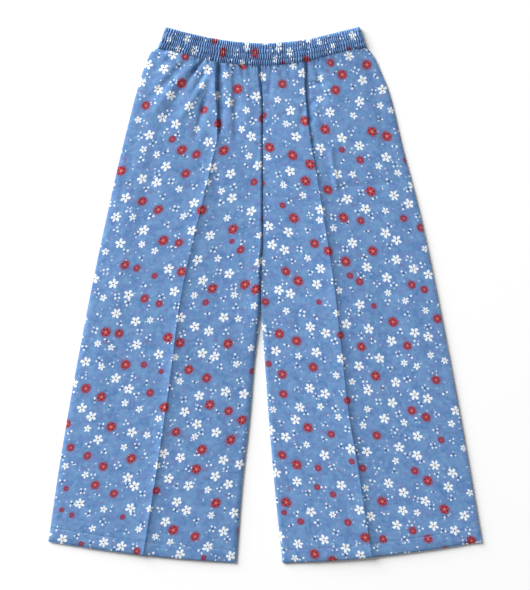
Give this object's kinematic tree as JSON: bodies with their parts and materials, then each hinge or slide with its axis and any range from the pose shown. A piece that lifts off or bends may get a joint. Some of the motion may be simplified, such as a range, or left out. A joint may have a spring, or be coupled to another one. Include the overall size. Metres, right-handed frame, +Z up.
{
  "type": "palazzo pants",
  "caption": "Wide-leg palazzo pants with a gathered elastic waistband, laid flat, front panels over back panels.",
  "frame": {"origin": "under the middle of the garment as it lies, on the surface that it lies on", "axes": "+Y towards the waist, +X towards the wearer's left leg, +Z up out of the front"},
  "size_m": [0.693, 0.8579, 0.0065],
  "materials": {
    "printed_cloth": "soft plain-weave cotton, mid blue ground with a small flower print",
    "gathered_band": "the same cloth gathered over elastic"
  },
  "bodies": {
    "root": {"front_right_leg": "printed_cloth", "front_left_leg": "printed_cloth", "back_right_leg": "printed_cloth", "back_left_leg": "printed_cloth", "waistband": "gathered_band"}
  },
  "joints": []
}
